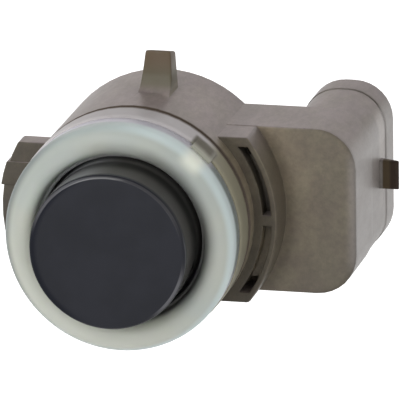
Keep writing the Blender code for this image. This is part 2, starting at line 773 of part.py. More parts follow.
def connector_pieces():
    """The arm, the tall shroud behind it, its rim past a fine groove, and the latch nose."""
    rim_front = SHROUD_BACK - RIM_LENGTH
    groove_front = rim_front - RIM_GROOVE_WIDTH
    arm_back = HOUSING_BACK - ARM_BACK_STEP
    arm = facing_prism("arm", arm_outline(), FLANGE_BACK, arm_back, ARM_EDGE)
    shroud = facing_prism("shroud", shroud_outline(), arm_back - OVERLAP, groove_front)
    neck = facing_prism(
        "shroud_groove", shroud_outline(RIM_GROOVE_DEPTH), groove_front - OVERLAP,
        rim_front + OVERLAP,
    )
    rim = facing_prism("shroud_rim", shroud_outline(-RIM_RISE), rim_front, SHROUD_BACK, RIM_EDGE)
    return arm, shroud, neck, rim, latch_nose()


def latch_nose():
    """A small block with an upright locking face towards the arm and a ramp towards the plug."""
    root = SHROUD_SIDE - SHROUD_WALL / 2
    crest = SHROUD_SIDE + NOSE_RISE
    front = HOUSING_BACK + NOSE_SETBACK
    profile = [
        (root, front),
        (crest, front),
        (crest, front + NOSE_CREST),
        (SHROUD_SIDE, front + NOSE_CREST + NOSE_RAMP),
        (root, front + NOSE_CREST + NOSE_RAMP),
    ]
    low = NOSE_CENTRE - NOSE_HEIGHT / 2
    return prism("latch_nose", profile, LEVEL, low, low + NOSE_HEIGHT, NOSE_EDGE)


def socket_cutters():
    """The plug socket, its lead-in at the rim, less two coding ribs left on its walls."""
    half_height = SHROUD_HEIGHT / 2 - SHROUD_WALL
    socket = facing_prism(
        "socket", shroud_outline(SHROUD_WALL), SOCKET_FLOOR, SHROUD_BACK + OVERLAP
    )
    rib_half = KEYWAY_RIB_WIDTH / 2
    rib_foot = half_height + OVERLAP
    rib_top = half_height - KEYWAY_RIB_HEIGHT
    rib_front = SOCKET_FLOOR - OVERLAP
    rib_back = SHROUD_BACK - RIM_LENGTH
    for side, low_z, high_z in (("upper", rib_top, rib_foot), ("lower", -rib_foot, -rib_top)):
        low = (SHROUD_CENTRE - rib_half, rib_front, low_z)
        high = (SHROUD_CENTRE + rib_half, rib_back, high_z)
        cut(socket, block(f"{side}_coding_rib", low, high))
    lead_in = facing_prism(
        "socket_lead_in", shroud_outline(SHROUD_WALL - SOCKET_LEAD_IN),
        SHROUD_BACK - SOCKET_LEAD_IN, SHROUD_BACK + OVERLAP,
    )
    return socket, lead_in


def terminal_route():
    """A terminal's middle line seen from above: off the board, along the arm, into the socket."""
    start = BOARD_FRONT - TERMINAL_LEAD
    bend = BOARD_BACK + TERMINAL_BEND_ROOM
    tip = SOCKET_FLOOR + TERMINAL_REACH
    return rounded([
        (TERMINAL_BOARD_REACH, start, 0),
        (TERMINAL_BOARD_REACH, bend, TERMINAL_BEND_RADIUS),
        (SHROUD_CENTRE, bend, TERMINAL_BEND_RADIUS),
        (SHROUD_CENTRE, tip, 0),
    ])


def ribbon(route, half_thickness, tip_taper=0.0):
    """The outline of a strip that follows a route, narrowed over its last stretch."""
    sides = ([], [])
    last = len(route) - 1
    for index, point in enumerate(route):
        here = Vector(point)
        before = Vector(route[max(index - 1, 0)])
        after = Vector(route[min(index + 1, last)])
        along = (after - before).normalized()
        across = Vector((-along.y, along.x)) * half_thickness
        if index == last and tip_taper:
            for side, sign in zip(sides, (1, -1)):
                side.append(here + sign * across - along * tip_taper)
                side.append(here + sign * across / 2)
            continue
        for side, sign in zip(sides, (1, -1)):
            side.append(here + sign * across)
    outline = sides[0] + sides[1][::-1]
    return [tuple(point) for point in outline]


def terminal_heights():
    middle = (TERMINAL_COUNT - 1) / 2
    return [(middle - index) * TERMINAL_PITCH for index in range(TERMINAL_COUNT)]


def terminal_solid(name, height, gap=0.0, tip_taper=0.0):
    half_thickness = TERMINAL_THICKNESS / 2 + gap
    half_width = TERMINAL_WIDTH / 2 + gap
    outline = ribbon(terminal_route(), half_thickness, tip_taper)
    return prism(name, outline, LEVEL, height - half_width, height + half_width)


def make_terminals():
    for number, height in enumerate(terminal_heights(), start=1):
        blade = terminal_solid(f"terminal_pin_{number}", height, tip_taper=TERMINAL_TIP_TAPER)
        as_part(blade, TINNED)


def make_housing():
    """One moulding: barrel, flange arcs, latch lug, arm, shroud and nose, with its cavities cut."""
    housing = housing_barrel()
    join(housing, *flange_pieces(), latch_lug(), *connector_pieces())
    cut(housing, *flange_slots(), *socket_cutters())
    for number, height in enumerate(terminal_heights(), start=1):
        cut(housing, terminal_solid(f"terminal_channel_{number}", height, SMALL_GAP))
    as_part(housing, PLASTIC)


def make_board():
    """A round board on the housing's seat, with two locating notches and holes for its pins."""
    board = rod("circuit_board", BOARD_RADIUS, BOARD_FRONT, BOARD_BACK, steps=INNER_ROUND_STEPS)
    for side, sign in (("upper", 1), ("lower", -1)):
        notch = rod(
            f"{side}_board_notch", BOARD_NOTCH_RADIUS, BOARD_FRONT - OVERLAP,
            BOARD_BACK + OVERLAP, 0, sign * BOARD_RADIUS, SMALL_ROUND_STEPS,
        )
        cut(board, notch)
    for side, x in contact_places().items():
        hole = rod(
            f"board_hole_{side}", CONTACT_DIAMETER / 2 + SMALL_GAP, BOARD_FRONT - OVERLAP,
            BOARD_BACK + OVERLAP, x, 0, TINY_ROUND_STEPS,
        )
        cut(board, hole)
    reach = TERMINAL_THICKNESS / 2 + SMALL_GAP
    width = TERMINAL_WIDTH / 2 + SMALL_GAP
    for number, height in enumerate(terminal_heights(), start=1):
        low = (TERMINAL_BOARD_REACH - reach, BOARD_FRONT - OVERLAP, height - width)
        high = (TERMINAL_BOARD_REACH + reach, BOARD_BACK + OVERLAP, height + width)
        cut(board, block(f"terminal_hole_{number}", low, high))
    as_part(board, BOARD_GREEN)


def make_transformer():
    """A drum core standing on the board's front, and the winding in its waist."""
    x, z = CORE_PLACE
    back = BOARD_FRONT - SMALL_GAP
    front = back - CORE_HEIGHT
    radius = CORE_DIAMETER / 2
    neck = CORE_NECK_DIAMETER / 2
    profile = [
        (0, 0),
        (radius, 0),
        (radius, CORE_FLANGE),
        (neck, CORE_FLANGE),
        (neck, CORE_HEIGHT - CORE_FLANGE),
        (radius, CORE_HEIGHT - CORE_FLANGE),
        (radius, CORE_HEIGHT),
        (0, CORE_HEIGHT),
    ]
    core = turned("transformer_core", profile, False, SMALL_ROUND_STEPS, at(x, front, z))
    as_part(core, FERRITE)
    coil_front = CORE_FLANGE + SMALL_GAP
    coil_back = CORE_HEIGHT - coil_front
    coil = [
        (radius - SMALL_GAP, coil_front),
        (radius - SMALL_GAP, coil_back),
        (neck + SMALL_GAP, coil_back),
        (neck + SMALL_GAP, coil_front),
    ]
    winding = turned("transformer_winding", coil, True, SMALL_ROUND_STEPS, at(x, front, z))
    as_part(winding, COPPER)


def make_components():
    """The control chip on the board's front, and capacitors and resistors on its back."""
    half = CHIP_SIZE / 2
    x, z = CHIP_PLACE
    back = BOARD_FRONT - SMALL_GAP
    chip = block(
        "control_chip", (x - half, back - CHIP_HEIGHT, z - half), (x + half, back, z + half),
        CHIP_EDGE,
    )
    as_part(chip, CHIP_RESIN)
    for kind, size, places, spec in (
        ("capacitor", CAPACITOR_SIZE, CAPACITOR_PLACES, CAPACITOR_CERAMIC),
        ("resistor", RESISTOR_SIZE, RESISTOR_PLACES, RESISTOR_CERAMIC),
    ):
        length, width, height = size
        front = BOARD_BACK + SMALL_GAP
        for number, (x, z) in enumerate(places, start=1):
            low = (x - length / 2, front, z - width / 2)
            high = (x + length / 2, front + height, z + width / 2)
            as_part(block(f"{kind}_{number}", low, high, CHIP_EDGE), spec)


def make_rear_cover():
    """A round lid in the barrel's back, with a chamfered edge and a low moulded ring."""
    radius = HOUSING_BORE + COVER_SEAT - FIT_GAP
    rib_outer = COVER_RIB_DIAMETER / 2
    rib_inner = rib_outer - COVER_RIB_WIDTH
    rib_back = COVER_BACK + COVER_RIB_HEIGHT
    profile = [
        (0, COVER_FRONT),
        (radius, COVER_FRONT),
        (radius, COVER_BACK - COVER_RECESS),
        (radius - COVER_RECESS, COVER_BACK),
        (rib_outer, COVER_BACK),
        (rib_outer - COVER_RIB_HEIGHT, rib_back),
        (rib_inner + COVER_RIB_HEIGHT, rib_back),
        (rib_inner, COVER_BACK),
        (0, COVER_BACK),
    ]
    as_part(turned("rear_cover", profile, closed=False), PLASTIC)


clear_scene()
PARTS = new_collection("parking_sensor")
HELPERS = new_collection("cutters")
HELPERS.hide_render = True

make_transducer_cup()
make_cup_contents()
make_decoupling_ring()
make_collar()
make_isolator()
make_contact_carrier()
make_housing()
make_board()
make_transformer()
make_components()
make_terminals()
make_rear_cover()
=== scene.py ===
"""Looks of the parking sensor: the cup and the ring in finer meshes, a finish for every piece,
soft studio light and the photograph's camera.

Lengths are metres in the part's own frame: the sensing face is at y = 0 and looks along -Y,
depth grows along +Y, the connector arm points along +X and +Z is up.

The constants of the finishes come in these forms. A fade is (start, end): it runs smoothly from
0 at the start to 1 at the end, which may be the smaller number. A grade is (start, end, level at
the start, level at the end). A noise is (size, detail, roughness). Levels are (low, high)."""

import math

import bpy
from mathutils import Matrix, Vector


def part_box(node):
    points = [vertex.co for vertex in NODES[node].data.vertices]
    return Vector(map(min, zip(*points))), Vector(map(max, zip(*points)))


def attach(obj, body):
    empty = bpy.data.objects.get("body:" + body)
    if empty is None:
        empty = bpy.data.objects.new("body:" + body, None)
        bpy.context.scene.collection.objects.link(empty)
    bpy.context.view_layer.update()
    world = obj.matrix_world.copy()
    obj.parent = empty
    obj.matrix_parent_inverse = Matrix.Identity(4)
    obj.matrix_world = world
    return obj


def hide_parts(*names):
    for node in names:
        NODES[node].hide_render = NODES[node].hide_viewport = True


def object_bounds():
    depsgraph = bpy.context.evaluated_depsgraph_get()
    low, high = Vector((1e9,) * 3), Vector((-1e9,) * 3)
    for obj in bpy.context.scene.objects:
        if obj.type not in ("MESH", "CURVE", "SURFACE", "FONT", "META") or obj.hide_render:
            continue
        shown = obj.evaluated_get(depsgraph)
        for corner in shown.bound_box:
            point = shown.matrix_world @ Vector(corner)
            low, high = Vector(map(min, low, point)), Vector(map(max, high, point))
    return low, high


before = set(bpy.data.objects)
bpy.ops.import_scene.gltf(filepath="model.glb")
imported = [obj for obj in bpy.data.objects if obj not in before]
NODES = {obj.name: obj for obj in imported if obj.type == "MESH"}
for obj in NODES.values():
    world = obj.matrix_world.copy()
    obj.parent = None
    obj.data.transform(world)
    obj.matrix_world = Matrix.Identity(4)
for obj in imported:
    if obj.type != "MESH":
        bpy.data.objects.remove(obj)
CAD_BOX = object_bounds()

# Camera, fitted to the photograph; pixels count from its upper left corner
IMAGE_SIZE = 400
CAMERA_AZIMUTH = math.radians(13.602)
CAMERA_DROP = math.radians(16.48)
CAMERA_ROLL = math.radians(-0.814)
CAMERA_DISTANCE = 0.858617
AIM_POINT = Vector((0.005, 0.017, 0.0))
FACE_SCALE = 10427  # pixels per metre at the face's centre
FACE_PIXEL = (106.613, 253.016)
SENSOR_WIDTH = 36  # millimetres
CLIP_END = 10

# Light; a lamp is (place, size, level), and at a level of 1 colours show as written
LAMPS = {
    "key_light": (Vector((-0.26, -0.72, 0.46)), 0.45, 0.30),
    "front_light": (Vector((-0.305, -0.785, 0.11)), 0.33, 0.27),
}
LIGHT_TARGET = Vector((0.008, 0.015, 0.0))
WHITE = (1.0, 1.0, 1.0)
AMBIENT = 0.48
AMBIENT_COLOUR = (0.8, 0.8, 0.8)
AMBIENT_RIGHT = (0.1, 1.0, AMBIENT, AMBIENT * 1.9)
AMBIENT_TOP = (0.0, 0.9, 1.0, 1.8)
REFLECTED_COLOUR = (1.0, 0.95, 0.935)
REFLECTED_BACK = (0.2, 0.85, 0.05, 1.0)
REFLECTED_RIGHT = (0.4, 0.9, 0.0, 0.5)

# Floor
FLOOR_DROP = 0.025
FLOOR_SIZE = 4.0
FLOOR_COLOUR = (0.86, 0.86, 0.86)
FLOOR_NOISE = (0.004, 3.0, 0.5)
FLOOR_ROUGHNESS = (0.85, 0.95)
FLOOR_BEHIND = (0.02, 0.08)
FLOOR_GLOW = 0.6

# Meshes
TURN_STEPS = 240
ARC_STEPS = 10
SHARP_ANGLE = math.radians(35)
WELD_DISTANCE = 1e-6
AREA_WEIGHT = 100

# Cup; the flange, cone and side are measured from its back
CUP_RADIUS = 0.00775
CUP_FACE_RING = CUP_RADIUS * 0.5
CUP_EDGE = 0.0004
CUP_WALL = 0.0018
CUP_FLOOR = 0.0008
CUP_FLANGE = 0.0010
CUP_CONE = 1.5 * CUP_FLANGE
CUP_SIDE_RING = 2 * CUP_FLANGE

# Ring; the relief is the wider stretch of its bore, measured from its back
LIP_RADIUS = 0.0015
LIP_STEPS = 32
RING_SIDE_START = 0.0053
RING_EDGE = 0.0002
RING_EDGE_STEPS = 4
RING_SKIRT_BACK = 0.00766
NECK_RADIUS = 0.01035
BORE_RADIUS = CUP_RADIUS + 0.0003
RELIEF_RADIUS = BORE_RADIUS + 0.0005
RELIEF_DEPTH = 0.0013
RELIEF_CONE = 0.0018
SHELF_DEPTH = 0.0056
SHELF_EDGE = 0.00008

# Node trees
MIX_FIRST, MIX_SECOND, MIX_RESULT = 6, 7, 2  # the colour sockets of a Mix node
BEVEL_SAMPLES = 6
CREVICE_SAMPLES = 12
WHOLE = (0.0, 1.0)
MARBLE_FADE = (0.35, 0.65)
SHADE_FADE = (0.25, 0.75)
ROUGHNESS_FADE = (0.3, 0.7)

# The collar's key and the seam between collar and housing, whose gap is widened with painted shade
KEY_ANGLE = math.radians(47.5)
KEY_INSIDE = (0.0090, 0.0100)
SEAM_SHADE_COLOUR = (0.060, 0.038, 0.022)
SEAM_FRONT = 0.0112
SEAM_BACK = 0.0115


def add_object(name, data):
    """A new object of the scene."""
    obj = bpy.data.objects.new(name, data)
    bpy.context.scene.collection.objects.link(obj)
    return obj


def turned(name, profile, closed=True):
    """A turned mesh about the sensor's axis from (radius, depth) points."""
    vertices = []
    starts = []
    for radius, depth in profile:
        starts.append((len(vertices), radius > 0))
        if radius <= 0:
            vertices.append((0, depth, 0))
            continue
        for step in range(TURN_STEPS):
            angle = 2 * math.pi * step / TURN_STEPS
            vertices.append((radius * math.cos(angle), depth, radius * math.sin(angle)))
    faces = []
    pairs = list(zip(starts, starts[1:]))
    if closed:
        pairs.append((starts[-1], starts[0]))
    for (first, first_round), (second, second_round) in pairs:
        for step in range(TURN_STEPS):
            after = (step + 1) % TURN_STEPS
            if first_round and second_round:
                faces.append((first + step, first + after, second + after, second + step))
            elif second_round:
                faces.append((first, second + after, second + step))
            elif first_round:
                faces.append((first + step, first + after, second))
    mesh = bpy.data.meshes.new(name)
    mesh.from_pydata(vertices, [], faces)
    mesh.validate()
    mesh.shade_smooth()
    mesh.set_sharp_from_angle(angle=SHARP_ANGLE)
    return add_object(name, mesh)


def arc(centre, radius, start, end, steps=ARC_STEPS):
    """Points of an arc from one angle to another in degrees, both ends included."""
    angles = [math.radians(start + (end - start) * i / steps) for i in range(steps + 1)]
    return [(centre[0] + radius * math.cos(a), centre[1] + radius * math.sin(a)) for a in angles]


class Nodes:
    """Short ways to add nodes to a tree. A mask is an output or a (value, fade or grade) pair."""

    def __init__(self, tree):
        self.tree = tree

    def node(self, kind, **settings):
        """A new node with these settings."""
        made = self.tree.nodes.new(kind)
        for key, value in settings.items():
            setattr(made, key, value)
        return made

    def feed(self, socket, value):
        """Links an output to the socket, or sets a number, vector or colour on it."""
        if isinstance(value, bpy.types.NodeSocket):
            self.tree.links.new(value, socket)
        elif isinstance(value, tuple) and len(value) == 3 and socket.type == "RGBA":
            socket.default_value = (*value, 1.0)
        else:
            socket.default_value = value

    def maths(self, operation, first, second=0.0):
        """The result of an operation on one or two numbers."""
        made = self.node("ShaderNodeMath", operation=operation)
        self.feed(made.inputs[0], first)
        self.feed(made.inputs[1], second)
        return made.outputs[0]

    def vector(self, operation, first, second=(0.0, 0.0, 0.0)):
        """The result of an operation on one or two vectors."""
        made = self.node("ShaderNodeVectorMath", operation=operation)
        self.feed(made.inputs[0], first)
        self.feed(made.inputs[1], second)
        return made.outputs["Value" if operation in ("LENGTH", "DOT_PRODUCT") else "Vector"]

    def split(self, source):
        """The X, Y and Z of a vector."""
        made = self.node("ShaderNodeSeparateXYZ")
        self.feed(made.inputs[0], source)
        return tuple(made.outputs)

    def spread(self, value, start, end, low=0.0, high=1.0):
        """A smooth step of the value, from low at the start to high at the end."""
        made = self.node("ShaderNodeMapRange", interpolation_type="SMOOTHSTEP")
        for socket, number in zip(made.inputs, (value, start, end, low, high)):
            self.feed(socket, number)
        return made.outputs["Result"]

    def combine(self, operation, masks):
        """One mask from several, taken in order."""
        result, *others = (self.spread(mask[0], *mask[1]) if isinstance(mask, tuple) else mask
                           for mask in masks)
        for mask in others:
            result = self.maths(operation, result, mask)
        return result

    def both(self, *masks):
        """The product of masks."""
        return self.combine("MULTIPLY", masks)

    def either(self, *masks):
        """The largest of masks."""
        return self.combine("MAXIMUM", masks)

    def total(self, *masks):
        """The sum of masks."""
        return self.combine("ADD", masks)

    def invert(self, mask):
        """0 where the mask is 1, and 1 where it is 0."""
        return self.spread(mask, 1.0, 0.0)

    def background(self, colour, strength):
        """A shader of the world."""
        made = self.node("ShaderNodeBackground")
        self.feed(made.inputs["Color"], colour)
        self.feed(made.inputs["Strength"], strength)
        return made.outputs[0]

    def mix_shaders(self, share, first, second):
        """The first shader at a share of 0 and the second at 1."""
        made = self.node("ShaderNodeMixShader")
        for socket, value in zip(made.inputs, (share, first, second)):
            self.feed(socket, value)
        return made.outputs[0]


class Finish(Nodes):
    """A Principled material whose inputs come from nodes read in the part's own frame."""

    def __init__(self, name, constants):
        self.material = bpy.data.materials.new(name)
        self.material.use_nodes = True
        super().__init__(self.material.node_tree)
        self.shader = self.tree.nodes["Principled BSDF"]
        self.point = self.node("ShaderNodeTexCoord").outputs["Object"]
        self.side, self.depth, self.height = self.split(self.point)
        normal = self.node("ShaderNodeNewGeometry").outputs["Normal"]
        self.rightwards, self.backwards, self.upwards = self.split(normal)
        for socket, value in constants.items():
            self.set(socket, value)

    def set(self, socket, value):
        """Feeds an input of the shader."""
        self.feed(self.shader.inputs[socket], value)

    def radius(self):
        """The distance from the sensor's axis."""
        return self.vector("LENGTH", self.vector("MULTIPLY", self.point, (1.0, 0.0, 1.0)))

    def across_key(self):
        """The distance to the side of the key's middle plane."""
        across = (-math.sin(KEY_ANGLE), 0, math.cos(KEY_ANGLE))
        return self.vector("DOT_PRODUCT", self.point, across)

    def key_zone(self, width):
        """1 on the collar's key, with a fade across its width."""
        outward = (math.cos(KEY_ANGLE), 0, math.sin(KEY_ANGLE))
        return self.both((self.maths("ABSOLUTE", self.across_key()), width),
                         (self.vector("DOT_PRODUCT", self.point, outward), KEY_INSIDE))

    def noise(self, size, detail, roughness, stretch=None):
        """Noise whose lumps are about size across."""
        made = self.node("ShaderNodeTexNoise")
        source = self.vector("MULTIPLY", self.point, stretch) if stretch else self.point
        self.feed(made.inputs["Vector"], source)
        self.feed(made.inputs["Scale"], 1 / size)
        self.feed(made.inputs["Detail"], detail)
        self.feed(made.inputs["Roughness"], roughness)
        return made.outputs["Fac"]

    def crevice(self, reach, fade):
        """1 on open faces, falling to 0 in corners and gaps narrower than reach."""
        made = self.node("ShaderNodeAmbientOcclusion", samples=CREVICE_SAMPLES)
        self.feed(made.inputs["Distance"], reach)
        return self.spread(made.outputs["AO"], *fade)

    def mix(self, share, first, second, blend="MIX"):
        """The first colour at a share of 0 and the second at 1."""
        made = self.node("ShaderNodeMix", data_type="RGBA", blend_type=blend)
        self.feed(made.inputs["Factor"], share)
        self.feed(made.inputs[MIX_FIRST], first)
        self.feed(made.inputs[MIX_SECOND], second)
        return made.outputs[MIX_RESULT]

    def dim(self, colour, level):
        """The colour times a level from a node."""
        grey = self.node("ShaderNodeCombineColor")
        for socket in grey.inputs:
            self.feed(socket, level)
        return self.mix(1.0, colour, grey.outputs[0], "MULTIPLY")

    def grade(self, colour, value, grade):
        """The colour times levels that follow a value."""
        return self.dim(colour, self.spread(value, *grade))

    def scale(self, colour, mask, level):
        """The colour times a level where the mask is 1."""
        return self.grade(colour, mask, (*WHOLE, 1.0, level))

    def shade(self, colour, noise, levels):
        """The colour lightened and darkened by a noise, between two levels."""
        return self.grade(colour, noise, (*SHADE_FADE, *levels))

    def marble(self, noise, colours, fade=MARBLE_FADE):
        """Two colours that run into each other with a noise."""
        return self.mix(self.spread(noise, *fade), *colours)

    def coat(self, mask, levels):
        """Sets the coat to the first level, and to the second where the mask is 1."""
        self.set("Coat Weight", self.spread(mask, *WHOLE, *levels))

    def roughen(self, noise, low, high):
        """Sets a roughness that varies with a noise."""
        self.set("Roughness", self.spread(noise, *ROUGHNESS_FADE, low, high))

    def soften_edges(self, radius):
        """The normal of edges rounded by radius, for highlights along them."""
        made = self.node("ShaderNodeBevel", samples=BEVEL_SAMPLES)
        self.feed(made.inputs["Radius"], radius)
        return made.outputs["Normal"]

    def bump(self, height, depth, normal=None):
        """Sets the normal of a skin whose height follows a noise."""
        made = self.node("ShaderNodeBump")
        self.feed(made.inputs["Strength"], 1.0)
        self.feed(made.inputs["Distance"], depth)
        self.feed(made.inputs["Height"], height)
        if normal:
            self.feed(made.inputs["Normal"], normal)
        self.set("Normal", made.outputs["Normal"])


# Moulded plastic: its surface
PLASTIC_GLOSS = {"IOR": 1.5, "Coat Roughness": 0.32}
FLOW = (1.0, 0.45, 1.0)  # draws the noises out along Y
MOTTLE = (0.0024, 4.0, 0.6)
BLOTCH = (0.0070, 2.0, 0.5)
SPECKLE = (0.0007, 3.0, 0.6)
GRAIN = (0.00022, 3.0, 0.6)
GRAIN_DEPTH = 0.000012
PLASTIC_COAT = (0.42, 0.1)
PLASTIC_ROUGHNESS = (0.54, 0.66)
EDGE_GRADE = (0.0150, 0.0165, 0.00022, 0.00060)
ARM_FRONT_SIDE = (0.0165, 0.0180)
ARM_FRONT_BACK = (0.0260, 0.0245)
ARM_FRONT_EDGE = (*WHOLE, 0.0, 0.00040)

# The ways its faces look
FACING_UP = (0.35, 0.75)
FACING_AHEAD = (-0.60, -0.90)
FACING_RIGHT = (0.45, 0.95)

# The body, with a painted highlight on top and painted shade in crevices, low down, along the arm,
# on the ear and on the top beside the lug
PLASTIC_COLOURS = ((0.118, 0.093, 0.062), (0.134, 0.111, 0.073))
TOP_LIT_COLOURS = ((0.193, 0.156, 0.149), (0.205, 0.174, 0.156))
RIM_GRADE = (0.0320, 0.0323, 1.0, 0.90)
TOP_SHADE_LEFT = (0.0010, 0.0050)
TOP_SHADE_RIGHT = (0.0105, 0.0090)
TOP_SHADE_LEVEL = 0.90
BLOTCH_LEVELS = (0.86, 1.14)
SPECKLE_LEVELS = (0.88, 1.12)
GRAIN_LEVELS = (0.93, 1.07)
CREVICE_SHADE_COLOUR = (0.070, 0.052, 0.032)
CREVICE_REACH = 0.0010
CREVICE_FADE = (0.10, 0.60)
OPEN_BACK = (0.0236, 0.0246)
ARM_TOP = (0.0080, 0.0090)
BODY_LOW_SHADE_GRADE = (-0.0070, 0.0070, 0.84, 1.06)
ARM_SHADE_GRADE = (0.0110, 0.0190, 1.0, 0.85)
EAR_SHADE_GRADE = (-0.0114, -0.0117, 1.0, 0.90)

# The flange, with painted light and shade: the strip before it, its front, its slot, the arm's
# root and its outer skin
RIGHT_PART = (0.0070, 0.0090)
STRIP_BACK = (0.0134, 0.0132)
STRIP_LIGHT_LEVEL = 1.50
SHADED_FRONT_BACK = (0.0150, 0.0140)
FRONT_SHADE_GRADE = (-0.0090, 0.0, 0.50, 0.54)
SLOT_FRONT = (0.01335, 0.0136)
SLOT_BACK = (0.0173, 0.0170)
SLOT_OUTSIDE = (0.01325, 0.01315)
SLOT_INSIDE = (0.0120, 0.0122)
SLOT_LIGHT_AND_SHADE_GRADE = (-0.0020, 0.0010, 2.0, 0.55)
ROOT_FRONT = (0.0168, 0.0172)
ROOT_REACH = (0.0185, 0.0142)
ROOT_LIGHT_LEVEL = 1.35
SKIN_INSIDE = (0.0135, 0.0136)
SKIN_OUTSIDE = (0.0139, 0.0138)
SKIN_BACK = (0.0174, 0.0172)
SKIN_SHADE_AND_HIGHLIGHT_GRADE = (*WHOLE, 0.76, 1.90)

# The plug shroud's outer side, painted paler as lit, a painted highlight before its groove and on
# its turn into the arm's front
FLANK_START = (0.0195, 0.0203)
FLANK_LIT_COLOUR = (0.205, 0.183, 0.170)
FLANK_SPECKLE_LEVELS = (0.93, 1.07)
FLANK_BLOTCH_LEVELS = (0.93, 1.07)
FLANK_GRAIN_LEVELS = (0.94, 1.06)
FLANK_LOW_SHADE_GRADE = (-0.0060, 0.0050, 0.90, 1.07)
GLEAM_FRONT = (0.0284, 0.0300)
GLEAM_BACK = (0.0319, 0.0313)
GLEAM_BOTTOM = (-0.0060, 0.0030)
GLEAM_HIGHLIGHT_LEVEL = 1.45
TURN_HIGHLIGHT_GRADE = (0.0194, 0.0207, 0.0, 0.75)
TURN_HEIGHT = (0.0072, 0.0045)

# The latch lug and the latch nose, darkened as painted shade
LUG_START = (0.01135, 0.0122)
FOOT_FADE = (0.0116, 0.0126)
FOOT_SHADE_COLOURS = ((0.150, 0.132, 0.100), (0.098, 0.084, 0.050))
LUG_FADE = (0.0125, 0.0148)
LUG_SHADE_COLOUR = (0.100, 0.067, 0.036)
NOSE_START = (0.02070, 0.02085)
NOSE_FADE = (0.0213, 0.0217)
NOSE_SHADE_COLOURS = ((0.078, 0.050, 0.020), (0.028, 0.012, 0.002))

# The shroud's groove, in painted light and shade, and the housing's side of the seam, in painted
# shade
GROOVE_FRONT = (0.03195, 0.03200)
GROOVE_BACK = (0.03225, 0.03220)
GROOVE_SHADE_AND_LIGHT_COLOURS = ((0.14, 0.12, 0.10), (0.50, 0.47, 0.45))
HOUSING_SEAM = (SEAM_BACK + 0.00005, SEAM_BACK + 0.00050)


